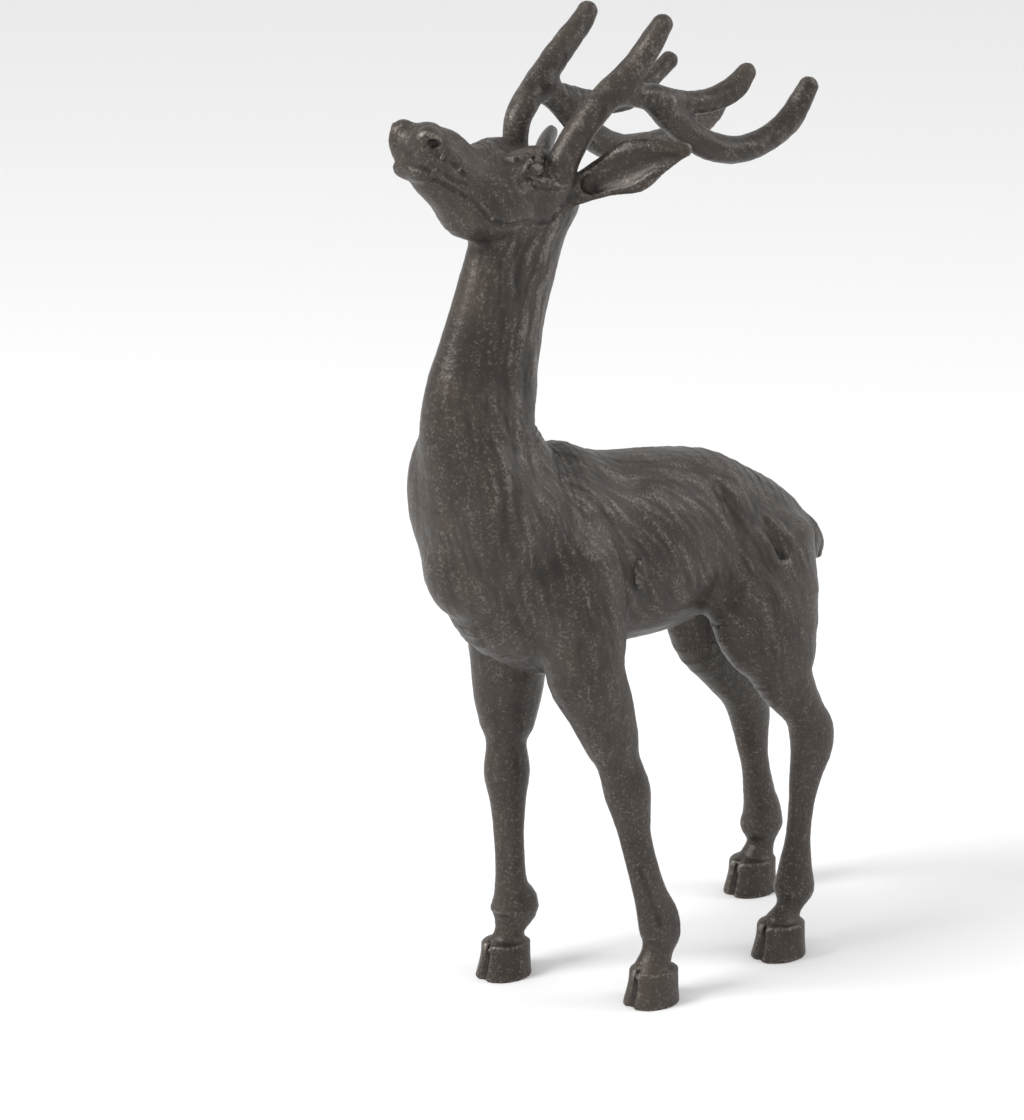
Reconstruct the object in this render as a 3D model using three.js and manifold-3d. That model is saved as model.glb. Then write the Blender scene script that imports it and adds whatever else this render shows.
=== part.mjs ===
// A standing cast iron stag, looking ahead with its muzzle lifted, cast in one piece.
// Millimetres, +Z up. The stag faces -Y and its left side is +X.
// The origin is on the ground, under the middle of the casting's box.

import * as THREE from "three";
import { mergeVertices } from "three/addons/utils/BufferGeometryUtils.js";
import Module from "manifold-3d";

// Driving sizes of the casting.
const HEIGHT = 558.8; // ground to the tips of the front tines
const LENGTH = 320; // muzzle to the trailing hind leg
const WIDTH = 129.5; // ear tip to ear tip

// The stations below are drawn on a stag of these sizes, with this middle seen from above.
// They are stretched to the driving sizes about it.
const DRAWN = { width: 129.5, length: 327.5, height: 559.5 };
const MIDDLE = { x: -0.35, y: 2 };
const STRETCH = new THREE.Vector3(WIDTH / DRAWN.width, LENGTH / DRAWN.length, HEIGHT / DRAWN.height);
const GIRTH = Math.cbrt(STRETCH.x * STRETCH.y * STRETCH.z);

// Mesh of the surface: spacing of the sampling planes, and how many flats the casting keeps.
const BODY_STEP = 4 * GIRTH;
const HEAD_STEP = 2.5 * GIRTH;
const SIDE_STEP = 3.1 * GIRTH;
const FACETS = 9400;
const SLIVER = 0.12; // least height of a flat as a share of its longest side
const CRUMB = 0.3 * HEAD_STEP; // edges shorter than this always fold away
const MOST_TURN = 0.5; // cosine of the most a flat may turn in one fold
const FLAT_ENOUGH = 0.02; // flats thinner than this share may turn freely
const EDGE_COST = 1e-3; // what an edge's own length adds to the cost of folding it
const MOST_TRIES = 12; // how often a fold that would spoil a flat is put off
const CORNER_GAP = 0.01; // how near a crossing may come to a corner, as a share of the edge
const ON_SURFACE = 1e-4; // corners this near the surface count as just outside it
const AT_CENTRE = 1e-9; // nearer to a form's centre than this share counts as its centre
const WELL_SET = 1e-4; // least share of its size that a fold's matrix must reach to be solved
const EASE = 0.4; // how freely the half sizes swing between their stations
const CELL_COUNT = 4; // cells a side that are passed over together when the surface is far away
const FAR = 60 * GIRTH; // distances beyond this are not worked out

// Heights on the drawing where the head and the legs begin, and how well each stretch keeps its form.
const HEAD_FROM = 440;
const LEGS_BELOW = 175;
const HOOVES_BELOW = 30;
const KEEPING = { head: 6, body: 1, legs: 2.5, hooves: 5 };

// Block under the ground that trims the hooves to flat soles.
const GROUND = { across: 4 * WIDTH, along: 3 * LENGTH, deep: 40 * GIRTH };

// Iron and its paint.
const PAINT = { color: 0x3a2c25, roughness: 0.45, metalness: 0.35 };

const LEFT = 1;
const RIGHT = -1;

// A point of the drawing, in millimetres on the casting.
function at(x, y, z) {
  return new THREE.Vector3(x - MIDDLE.x, y - MIDDLE.y, z).multiply(STRETCH);
}

// Smooth joining and cutting of two distances, over a blend that is a few millimetres wide.
function joined(a, b, blend) {
  const h = Math.max(blend - Math.abs(a - b), 0) / blend;
  return Math.min(a, b) - (h * h * blend) / 4;
}

function carved(a, b, blend) {
  return -joined(-a, b, blend);
}

// Distance to an ellipsoid, near enough for blending, from a point in its own axes.
function toEllipsoid(u, v, w, ru, rv, rw) {
  const a = u / ru;
  const b = v / rv;
  const c = w / rw;
  const k0 = Math.sqrt(a * a + b * b + c * c);
  const k1 = Math.sqrt((a * a) / (ru * ru) + (b * b) / (rv * rv) + (c * c) / (rw * rw));
  return k1 < AT_CENTRE ? -Math.min(ru, rv, rw) : (k0 * (k0 - 1)) / k1;
}

// One rounded form with oval sections, carried along a smooth curve through its stations.
// A station is [x, y, z, half width across, half depth], and across is the way that width is measured.
// Its ends are domes, or flatter ones of the height cap.
class Limb {
  constructor(stations, { across = [1, 0, 0], steps = 4, side = LEFT, cap = 0 } = {}) {
    this.cap = cap * GIRTH;
    const centres = stations.map(([x, y, z]) => at(x * side, y, z));
    const halves = stations.map((s) => new THREE.Vector3(s[3] * GIRTH, (s[4] ?? s[3]) * GIRTH, 0));
    const path = new THREE.CatmullRomCurve3(centres, false, "centripetal");
    const swell = new THREE.CatmullRomCurve3(halves, false, "catmullrom", EASE);
    const wide = new THREE.Vector3(across[0] * side, across[1], across[2]).normalize();
    const spans = (stations.length - 1) * steps;
    const points = path.getPoints(spans);
    const sizes = swell.getPoints(spans);
    this.box = new THREE.Box3();
    points.forEach((p, i) => {
      const reach = 2 * Math.max(sizes[i].x, sizes[i].y);
      this.box.union(new THREE.Box3().setFromCenterAndSize(p, new THREE.Vector3().setScalar(reach)));
    });
    const numbers = [];
    for (let i = 0; i < spans; i++) {
      const axis = points[i + 1].clone().sub(points[i]);
      const length = axis.length();
      axis.divideScalar(length);
      const u = wide.clone().addScaledVector(axis, -wide.dot(axis)).normalize();
      const v = new THREE.Vector3().crossVectors(axis, u);
      const [from, to] = [sizes[i], sizes[i + 1]];
      for (const w of [points[i], axis, u, v]) numbers.push(...w);
      numbers.push(length, from.x, from.y, to.x, to.y);
    }
    this.spans = spans;
    this.row = numbers.length / spans;
    this.numbers = Float64Array.from(numbers);
  }

  // Measured in the section through the nearest place on the curve.
  distance(x, y, z) {
    const n = this.numbers;
    let nearest = Infinity;
    let at = 0;
    let part = 0;
    for (let i = 0, r = 0; i < this.spans; i++, r += this.row) {
      const dx = x - n[r];
      const dy = y - n[r + 1];
      const dz = z - n[r + 2];
      const along = dx * n[r + 3] + dy * n[r + 4] + dz * n[r + 5];
      const inside = Math.min(Math.max(along, 0), n[r + 12]);
      const away = dx * dx + dy * dy + dz * dz - along * along + (along - inside) * (along - inside);
      if (away < nearest) {
        nearest = away;
        at = r;
        part = inside;
      }
    }
    const dx = x - n[at];
    const dy = y - n[at + 1];
    const dz = z - n[at + 2];
    const along = dx * n[at + 3] + dy * n[at + 4] + dz * n[at + 5];
    const du = dx * n[at + 6] + dy * n[at + 7] + dz * n[at + 8];
    const dv = dx * n[at + 9] + dy * n[at + 10] + dz * n[at + 11];
    const t = part / n[at + 12];
    const wide = n[at + 13] + (n[at + 15] - n[at + 13]) * t;
    const deep = n[at + 14] + (n[at + 16] - n[at + 14]) * t;
    return toEllipsoid(du, dv, along - part, wide, deep, this.cap || Math.min(wide, deep));
  }
}

// An egg-like swelling: centre, half sizes, and turns about its own axes in degrees.
class Swelling {
  constructor([x, y, z], halves, turns = [0, 0, 0], side = LEFT) {
    this.centre = at(x * side, y, z);
    this.halves = halves.map((h) => h * GIRTH);
    const [a, b, c] = turns.map(THREE.MathUtils.degToRad);
    this.turn = new THREE.Matrix3().setFromMatrix4(
      new THREE.Matrix4().makeRotationFromEuler(new THREE.Euler(a, b * side, c * side, "ZYX")),
    ).transpose().elements;
    const reach = Math.max(...this.halves);
    this.box = new THREE.Box3().setFromCenterAndSize(this.centre, new THREE.Vector3().setScalar(2 * reach));
  }

  distance(x, y, z) {
    const dx = x - this.centre.x;
    const dy = y - this.centre.y;
    const dz = z - this.centre.z;
    const m = this.turn;
    const u = m[0] * dx + m[3] * dy + m[6] * dz;
    const v = m[1] * dx + m[4] * dy + m[7] * dz;
    const w = m[2] * dx + m[5] * dy + m[8] * dz;
    return toEllipsoid(u, v, w, ...this.halves);
  }
}

// The casting as a list of forms, each joined to or carved out of what came before it.
const forms = [];

function add(shape, blend) {
  forms.push({ shape, blend: blend * GIRTH, cut: false });
}

function carve(shape, blend) {
  forms.push({ shape, blend: blend * GIRTH, cut: true });
}

// The same form on both sides.
function pair(make) {
  make(LEFT);
  make(RIGHT);
}

function toBox(box, x, y, z) {
  const dx = Math.max(box.min.x - x, 0, x - box.max.x);
  const dy = Math.max(box.min.y - y, 0, y - box.max.y);
  const dz = Math.max(box.min.z - z, 0, z - box.max.z);
  return Math.hypot(dx, dy, dz);
}

function distance(x, y, z) {
  let d = FAR;
  for (const { shape, blend, cut } of forms) {
    const away = toBox(shape.box, x, y, z);
    if (cut ? away - blend > -d : away - blend > d) continue;
    const own = shape.distance(x, y, z);
    d = cut ? carved(d, own, blend) : joined(d, own, blend);
  }
  return d;
}

// Chest, ribs, belly and rump.
function addTrunk() {
  const trunk = [
    [0, -106.5, 273.5, 32.5, 41],
    [0, -85, 263.5, 38, 55.2],
    [0, -58, 258.5, 40, 66.5],
    [0, -20, 256, 40.5, 56],
    [0, 20, 252.5, 40, 53.4],
    [0, 58, 251.2, 39, 46.9],
    [0, 92, 245, 31, 33.7],
    [0, 119, 233, 22, 26.7],
    [0, 138, 223, 14, 15.5],
  ];
  add(new Limb(trunk), 6);
}

function addNeck() {
  const neck = [
    [0, -101, 306, 33, 43],
    [0, -110.3, 338, 28, 34.6],
    [0, -107.5, 361, 24.5, 34.8],
    [0, -101.3, 383, 21.5, 32],
    [0, -94.3, 405, 19.5, 30],
    [0, -86, 427, 18.8, 29.3],
    [0, -77.3, 449, 19, 28.7],
    [0, -65.2, 465, 19.8, 26],
  ];
  add(new Limb(neck), 11);
  pair((side) => {
    add(new Swelling([22, -115, 298], [18, 21, 40], [12, 0, 0], side), 12);
    add(new Swelling([18.5, -110.5, 291], [18, 18.5, 27], [14, 0, 0], side), 10);
  });
}

function addHead() {
  const skull = [
    [0, -147, 503.3, 13.5, 15.2],
    [0, -138, 495.4, 15, 19.2],
    [0, -126, 484.7, 17, 20],
    [0, -112, 476.2, 19.5, 27.3],
    [0, -95, 470.8, 21.5, 25],
    [0, -76, 470, 22, 23.5],
    [0, -62, 468, 19, 21],
  ];
  add(new Limb(skull), 8);
  pair((side) => {
    add(new Swelling([15, -88, 489.2], [8, 15, 7], [18, 0, 12], side), 6);
    add(new Swelling([13, -104, 470], [11, 20, 17], [22, 0, 0], side), 8);
    carve(new Swelling([26, -90, 484], [6, 11, 6], [18, 0, 0], side), 4);
    add(new Swelling([18.5, -85, 485.5], [6, 6.5, 5], [18, 0, 0], side), 1.5);
    add(new Swelling([10, -151.6, 506], [8, 9, 13], [12, 0, 0], side), 4);
    add(new Swelling([5, -152.6, 495], [9, 9.5, 7.3], [15, 0, 0], side), 4);
    carve(new Swelling([17, -155, 510], [3.5, 4.5, 2.8], [25, 0, 30], side), 2);
    const lips = [
      [4, -164, 498, 2, 1.6],
      [13, -161, 497, 3, 1.6],
      [19, -150, 494, 3, 1.5],
      [18.5, -134, 487, 2, 1],
    ];
    carve(new Limb(lips, { side }), 2);
  });
}

// The left ear stands out to the side, and the right one leans farther back.
function addEars() {
  const left = [
    [19, -55.5, 468.5, 7.6, 6.5],
    [30, -44, 476.5, 10.6, 6],
    [43, -34, 483.8, 14.8, 5.5],
    [54, -23.3, 490, 9.4, 4.5],
    [62.6, -11.8, 492.8, 3.6, 2.6],
  ];
  const right = [
    [18.5, -57, 466.5, 8, 7],
    [31, -37, 468.5, 11, 6.3],
    [43, -23, 471.5, 14, 5.5],
    [54, -8, 475.6, 11, 4.5],
    [62.9, 5, 477.2, 4.4, 2.8],
  ];
  const across = [-0.3, 0.1, 0.95];
  const [before, below, share] = [8.5, 2, 0.66]; // where the hollow lies on the leaf, and its share of the width
  for (const [leaf, side] of [[left, LEFT], [right, RIGHT]]) {
    add(new Limb(leaf, { side, across }), 4);
    const hollow = leaf.slice(1).map(([x, y, z, wide, deep]) => [x, y - before, z - below, wide * share, deep]);
    carve(new Limb(hollow, { side, across }), 2);
  }
}

// Each antler rises from its pedicle into the front tine; its beam sweeps back with a tine on top.
function addAntlers() {
  const leftFront = [
    [18, -66, 477, 9],
    [19.5, -62.5, 488.5, 8.5],
    [21, -51.5, 503, 8.2],
    [23.5, -36, 518, 7.9],
    [26.5, -16.8, 532.5, 7.4],
    [28.6, -5.3, 546, 6.7],
    [29.5, 1, 554, 5.8],
  ];
  const leftBeam = [
    [24.5, -31, 519.8, 6.8],
    [27.5, -7.5, 514.9, 6.9],
    [29.5, 6.7, 503.3, 8.6],
    [31.5, 19, 492, 8.1],
    [33.5, 34, 482.5, 8.1],
    [35, 55.5, 477.4, 7.7],
    [36, 77.5, 480.8, 7.1],
    [36.5, 94.3, 489.5, 7.1],
    [37, 107.4, 505.2, 5.7],
  ];
  const leftRear = [
    [28, -3, 515.3, 6],
    [30, 20, 508.3, 6.4],
    [31.5, 39, 507.6, 6.9],
    [32.5, 53.5, 511.8, 7],
    [33, 62.3, 519, 5.6],
  ];
  const rightFront = [
    [18, -63, 477, 7.7],
    [19, -63.4, 490, 7],
    [20, -60.8, 502.5, 7.3],
    [21.5, -53.1, 511, 7.6],
    [24, -41, 520.6, 7.6],
    [26, -27.7, 530.5, 7.4],
    [28, -15, 539.3, 7.1],
    [29, -4.2, 547.2, 6.4],
    [29.5, 0.7, 552.4, 5.7],
  ];
  const rightBeam = [
    [24, -38, 517, 8.3],
    [24.5, -26, 508, 7.6],
    [26, -10, 493, 7.8],
    [27.5, 8, 479, 8.2],
    [29.5, 27, 471.8, 7.8],
    [31.5, 45, 469.9, 7.2],
    [33, 66, 470, 6.8],
    [35, 89, 472.5, 6.4],
    [36, 104, 479, 6],
    [36, 112.5, 487, 4.8],
  ];
  const rightRear = [
    [25, -22, 509.6, 6.3],
    [28, 10, 500, 6.4],
    [30, 34, 499, 6],
    [31, 50.3, 506.6, 5.2],
    [32, 65.8, 515, 5.1],
  ];
  for (const horn of [leftFront, leftBeam]) add(new Limb(horn), 5);
  add(new Limb(leftRear), 4);
  for (const horn of [rightFront, rightBeam]) add(new Limb(horn, { side: RIGHT }), 5);
  add(new Limb(rightRear, { side: RIGHT }), 4);
}

// A hoof standing on (x, y): a block flaring to the sole, with a narrow cleft down its front.
function addHoof(x, y, side) {
  const wall = [
    [x, y + 2, 19, 12.8, 14.9],
    [x, y + 1.6, 11, 13.4, 15.1],
    [x, y, -2, 15, 17.3],
  ];
  add(new Limb(wall, { side, cap: 3 }), 2);
  const cleft = [
    [x, y - 9.5, 21, 1.2],
    [x, y - 13.5, 10, 1.8],
    [x, y - 18, -2, 2.4],
  ];
  carve(new Limb(cleft, { side }), 2.5);
}

function addLeg(stations, side) {
  add(new Limb(stations, { side }), 9);
}

function addForelegs() {
  const right = [
    [28, -62, 262, 21, 32],
    [31.5, -60, 225, 22, 27],
    [33.5, -57.8, 193, 20.5, 22.8],
    [35.3, -56.6, 172, 17.2, 21.6],
    [36.5, -56.2, 152, 13.8, 16.8],
    [36.9, -56.8, 141, 10.4, 12.4],
    [37.5, -56, 123, 12, 14],
    [38, -54.8, 105, 9.4, 10.9],
    [38.5, -54, 87, 8.1, 9.2],
    [39, -52.7, 68, 7.8, 9],
    [39.5, -51.4, 53, 8.8, 10],
    [40, -48.7, 39, 12, 15.3],
    [40.2, -52, 26.5, 7.8, 9.2],
    [40.4, -53.5, 18, 10, 11.5],
  ];
  const left = [
    [28, -64, 262, 20, 32],
    [33.5, -63, 228, 22.5, 26],
    [36, -63.2, 202, 20.5, 23],
    [38.6, -55.2, 181, 17.8, 19.8],
    [40.3, -47.9, 160, 14.7, 16.2],
    [41.2, -43.1, 146, 11.8, 12.6],
    [42.5, -37.6, 128, 12.2, 13.7],
    [43.2, -34.5, 112, 9.8, 11.3],
    [43.6, -32.9, 102, 8.4, 9.6],
    [44.6, -28.8, 85, 8.2, 9.2],
    [45.4, -22.8, 65, 8.8, 9.8],
    [46, -16.6, 48, 10.8, 12.5],
    [46.3, -15.3, 38, 10.6, 12],
    [46.5, -17.8, 29, 8.2, 9.2],
    [46.8, -22.5, 18, 10, 11.5],
  ];
  addLeg(right, RIGHT);
  addLeg(left, LEFT);
  addHoof(40.5, -57, RIGHT);
  addHoof(46.9, -22.9, LEFT);
}

function addHindLegs() {
  const left = [
    [26, 85, 244, 17.5, 38],
    [31, 82.6, 209, 18.5, 39.3],
    [33, 87.6, 188, 17.9, 33],
    [34.5, 90.9, 176, 16.5, 26],
    [36, 94.2, 162, 14.8, 18],
    [39.2, 106.6, 141, 11.8, 12.2],
    [40.5, 111.6, 129, 12, 13.7],
    [41, 111.5, 119, 11.4, 13.2],
    [42, 105.6, 102, 8.5, 10.1],
    [42.8, 101.7, 86, 6.8, 8],
    [43.5, 98.6, 68, 6.7, 7.7],
    [44.2, 95.8, 50, 8.8, 10.6],
    [44.7, 94, 37, 10.6, 13.2],
    [45, 90, 27, 7, 7.8],
    [45.1, 84, 18, 10, 11],
  ];
  const right = [
    [24, 90, 244, 16, 36],
    [27, 93, 209, 17, 32],
    [30, 98.3, 180, 17, 28.5],
    [33, 116.8, 150, 13.5, 19.6],
    [35.5, 131.8, 129, 11.6, 15],
    [37.5, 139.3, 112.6, 10.2, 13.6],
    [38.6, 142.5, 95, 8.7, 10.6],
    [39, 145.6, 80, 7.6, 8.8],
    [39.2, 149.4, 60, 8.8, 10],
    [39.3, 152, 48, 10.6, 12.2],
    [39.4, 151.8, 39, 11.6, 13.6],
    [39.4, 151.2, 28.5, 7.8, 8.6],
    [39.4, 147.5, 18, 10, 11.5],
  ];
  addLeg(left, LEFT);
  addLeg(right, RIGHT);
  addHoof(45.2, 81.4, LEFT);
  addHoof(39.4, 142.5, RIGHT);
}

// Shoulder, elbow, ribs and haunch, with the folds between them.
function addMuscles() {
  const behindShoulder = [
    [30, -56, 318, 2, 2],
    [39, -48, 298, 2.6, 2.6],
    [43.5, -41, 272, 2.6, 2.6],
    [44.5, -36, 250, 2.4, 2.4],
    [42, -40, 232, 2, 2],
  ];
  const flank = [
    [30, 46, 286, 2, 2],
    [39.5, 50, 268, 3, 3],
    [42.5, 53, 243, 3.4, 3.4],
    [40, 47, 220, 2.8, 2.8],
  ];
  const hip = [
    [31, 68, 285, 2, 2],
    [39.5, 74, 264, 2.4, 2.4],
    [42, 84, 240, 2, 2],
  ];
  pair((side) => {
    add(new Swelling([27, -88, 292], [13, 18, 24], [15, 0, 0], side), 8);
    add(new Swelling([31, -70, 257], [12, 19, 25], [-10, 0, 0], side), 7);
    add(new Swelling([31, -53.5, 239], [13, 23, 20], [-20, 0, 0], side), 8);
    add(new Swelling([24, 2, 254], [19, 38, 40], [0, 0, 0], side), 10);
    add(new Swelling([25, 82, 220], [16, 34, 32], [0, 0, 0], side), 9);
    add(new Swelling([26, 60, 268], [10, 11, 17], [10, 0, 0], side), 7);
    add(new Swelling([31, 76, 240], [10, 14, 24], [-8, 0, 0], side), 6);
    for (const fold of [behindShoulder, flank, hip]) carve(new Limb(fold, { side }), 6);
    add(new Swelling([40, -46, 238], [4, 6, 7], [0, 0, 0], side), 3);
    add(new Swelling([42, -27, 252], [1.6, 4, 9], [0, 0, 0], side), 2);
  });
}

function addTail() {
  const tail = [
    [0, 136, 241.5, 8, 7],
    [0, 147.5, 233.5, 7.5, 6],
    [0, 154.5, 223.5, 6, 4.8],
    [0, 156.3, 216, 3, 3],
  ];
  add(new Limb(tail), 4);
}

addTrunk();
addNeck();
addHead();
addForelegs();
addHindLegs();
addMuscles();
addTail();
addEars();
addAntlers();

// Positions of sampling planes from low to high, closer together inside a fine stretch.
function planes(low, high, stepAt) {
  const list = [low];
  while (list.at(-1) < high) list.push(list.at(-1) + stepAt(list.at(-1)));
  return list;
}

// The six tetrahedra of a cell, as corner numbers whose bits are the steps along x, y and z.
const TETRAHEDRA = [
  [0, 1, 3, 7],
  [0, 3, 2, 7],
  [0, 2, 6, 7],
  [0, 6, 4, 7],
  [0, 4, 5, 7],
  [0, 5, 1, 7],
];

// The surface where the distance is nought, as one closed mesh of triangles.
function surfaceOf() {
  const box = new THREE.Box3();
  for (const { shape, cut } of forms) if (!cut) box.union(shape.box);
  box.expandByScalar(2 * BODY_STEP);
  const head = at(0, -40, HEAD_FROM);
  const xs = planes(box.min.x, box.max.x, () => SIDE_STEP);
  const ys = planes(box.min.y, box.max.y, (y) => (y < head.y ? HEAD_STEP : BODY_STEP));
  const zs = planes(box.min.z, box.max.z, (z) => (z > head.z ? HEAD_STEP : BODY_STEP));
  const nx = xs.length;
  const ny = ys.length;
  const nz = zs.length;
  const values = new Float32Array(nx * ny * nz).fill(NaN);
  const number = (i, j, k) => (k * ny + j) * nx + i;
  const value = (i, j, k) => {
    const n = number(i, j, k);
    if (Number.isNaN(values[n])) {
      const d = distance(xs[i], ys[j], zs[k]);
      values[n] = Math.abs(d) < ON_SURFACE ? ON_SURFACE : d;
    }
    return values[n];
  };
  const points = [];
  const faces = [];
  const crossing = new Map();
  const corners = [0, 0, 0, 0, 0, 0, 0, 0];
  const places = [0, 0, 0, 0, 0, 0, 0, 0];
  const depths = [0, 0, 0, 0, 0, 0, 0, 0];
  const where = (n) => {
    const i = n % nx;
    const j = Math.floor(n / nx) % ny;
    const k = Math.floor(n / (nx * ny));
    return [xs[i], ys[j], zs[k]];
  };
  const vertex = (a, b) => {
    const low = Math.min(corners[a], corners[b]);
    const high = Math.max(corners[a], corners[b]);
    const key = low * values.length + high;
    let n = crossing.get(key);
    if (n === undefined) {
      const p = where(low);
      const q = where(high);
      const dp = values[low];
      const dq = values[high];
      const t = THREE.MathUtils.clamp(dp / (dp - dq), CORNER_GAP, 1 - CORNER_GAP);
      n = points.length / 3;
      for (let c = 0; c < 3; c++) points.push(p[c] + (q[c] - p[c]) * t);
      crossing.set(key, n);
    }
    return n;
  };
  // Triangles between the corners inside the iron and the corners outside it.
  const split = (tetra) => {
    const inside = tetra.filter((c) => depths[c] < 0);
    const outside = tetra.filter((c) => depths[c] >= 0);
    if (!inside.length || !outside.length) return;
    let loop;
    if (inside.length === 1) loop = outside.map((o) => vertex(inside[0], o));
    else if (outside.length === 1) loop = inside.map((i) => vertex(i, outside[0]));
    else {
      loop = [
        vertex(inside[0], outside[0]),
        vertex(inside[0], outside[1]),
        vertex(inside[1], outside[1]),
        vertex(inside[1], outside[0]),
      ];
    }
    const a = new THREE.Vector3().fromArray(points, 3 * loop[0]);
    const b = new THREE.Vector3().fromArray(points, 3 * loop[1]);
    const c = new THREE.Vector3().fromArray(points, 3 * loop[2]);
    const normal = b.sub(a).cross(c.sub(a));
    const out = new THREE.Vector3();
    for (const o of outside) out.addScaledVector(places[o], 1 / outside.length);
    for (const i of inside) out.addScaledVector(places[i], -1 / inside.length);
    if (normal.dot(out) < 0) loop.reverse();
    faces.push([loop[0], loop[1], loop[2]]);
    if (loop.length === 4) faces.push([loop[0], loop[2], loop[3]]);
  };
  for (let k0 = 0; k0 < nz - 1; k0 += CELL_COUNT) {
    for (let j0 = 0; j0 < ny - 1; j0 += CELL_COUNT) {
      for (let i0 = 0; i0 < nx - 1; i0 += CELL_COUNT) {
        const i1 = Math.min(i0 + CELL_COUNT, nx - 1);
        const j1 = Math.min(j0 + CELL_COUNT, ny - 1);
        const k1 = Math.min(k0 + CELL_COUNT, nz - 1);
        const half = Math.hypot(xs[i1] - xs[i0], ys[j1] - ys[j0], zs[k1] - zs[k0]) / 2;
        const middle = distance((xs[i0] + xs[i1]) / 2, (ys[j0] + ys[j1]) / 2, (zs[k0] + zs[k1]) / 2);
        if (Math.abs(middle) > 2 * half + BODY_STEP) continue;
        for (let k = k0; k < k1; k++) {
          for (let j = j0; j < j1; j++) {
            for (let i = i0; i < i1; i++) {
              let signs = 0;
              for (let c = 0; c < 8; c++) {
                const ci = i + (c & 1);
                const cj = j + ((c >> 1) & 1);
                const ck = k + ((c >> 2) & 1);
                depths[c] = value(ci, cj, ck);
                corners[c] = number(ci, cj, ck);
                if (depths[c] < 0) signs++;
              }
              if (signs === 0 || signs === 8) continue;
              for (let c = 0; c < 8; c++) places[c] = new THREE.Vector3(...where(corners[c]));
              for (const tetra of TETRAHEDRA) split(tetra);
            }
          }
        }
      }
    }
  }
  return { points, faces };
}

// How finely a place is kept when the surface is reduced: the head, antlers, ears and hooves most.
function detail(z) {
  if (z > HEAD_FROM * STRETCH.z) return KEEPING.head;
  if (z < HOOVES_BELOW * STRETCH.z) return KEEPING.hooves;
  if (z < LEGS_BELOW * STRETCH.z) return KEEPING.legs;
  return KEEPING.body;
}

// A heap of edges, cheapest first.
class Heap {
  constructor() {
    this.items = [];
  }

  push(item) {
    const list = this.items;
    let i = list.length;
    list.push(item);
    while (i > 0) {
      const up = (i - 1) >> 1;
      if (list[up].cost <= item.cost) break;
      list[i] = list[up];
      i = up;
    }
    list[i] = item;
  }

  pop() {
    const list = this.items;
    const first = list[0];
    const last = list.pop();
    const count = list.length;
    if (!count) return first;
    let i = 0;
    for (;;) {
      let low = 2 * i + 1;
      if (low >= count) break;
      if (low + 1 < count && list[low + 1].cost < list[low].cost) low++;
      if (last.cost <= list[low].cost) break;
      list[i] = list[low];
      i = low;
    }
    list[i] = last;
    return first;
  }
}

// Sum of squared distances to weighted planes, as the ten numbers of a symmetric matrix.
class Square {
  constructor() {
    this.n = new Float64Array(10);
  }

  addPlane(a, b, c, d, weight) {
    const p = [a * a, a * b, a * c, a * d, b * b, b * c, b * d, c * c, c * d, d * d];
    for (let i = 0; i < 10; i++) this.n[i] += p[i] * weight;
  }

  setSum(p, q) {
    for (let i = 0; i < 10; i++) this.n[i] = p.n[i] + q.n[i];
    return this;
  }

  at({ x, y, z }) {
    const n = this.n;
    const across = n[0] * x * x + n[4] * y * y + n[7] * z * z + 2 * (n[1] * x * y + n[2] * x * z + n[5] * y * z);
    return across + 2 * (n[3] * x + n[6] * y + n[8] * z) + n[9];
  }

  // The point with the least sum, if it is clear and near, or the best of the two ends and their middle.
  best(p, q, out) {
    const n = this.n;
    const c00 = n[4] * n[7] - n[5] * n[5];
    const c01 = n[2] * n[5] - n[1] * n[7];
    const c02 = n[1] * n[5] - n[2] * n[4];
    const det = n[0] * c00 + n[1] * c01 + n[2] * c02;
    const size = n[0] + n[4] + n[7];
    out.addVectors(p, q).multiplyScalar(0.5);
    if (det > WELL_SET * size * size * size) {
      const c11 = n[0] * n[7] - n[2] * n[2];
      const c12 = n[1] * n[2] - n[0] * n[5];
      const c22 = n[0] * n[4] - n[1] * n[1];
      const x = -(c00 * n[3] + c01 * n[6] + c02 * n[8]) / det;
      const y = -(c01 * n[3] + c11 * n[6] + c12 * n[8]) / det;
      const z = -(c02 * n[3] + c12 * n[6] + c22 * n[8]) / det;
      const away = (x - out.x) ** 2 + (y - out.y) ** 2 + (z - out.z) ** 2;
      if (away < p.distanceToSquared(q)) return out.set(x, y, z);
    }
    const middle = this.at(out);
    const first = this.at(p);
    const second = this.at(q);
    if (first < middle && first <= second) out.copy(p);
    else if (second < middle) out.copy(q);
    return out;
  }
}

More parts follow.
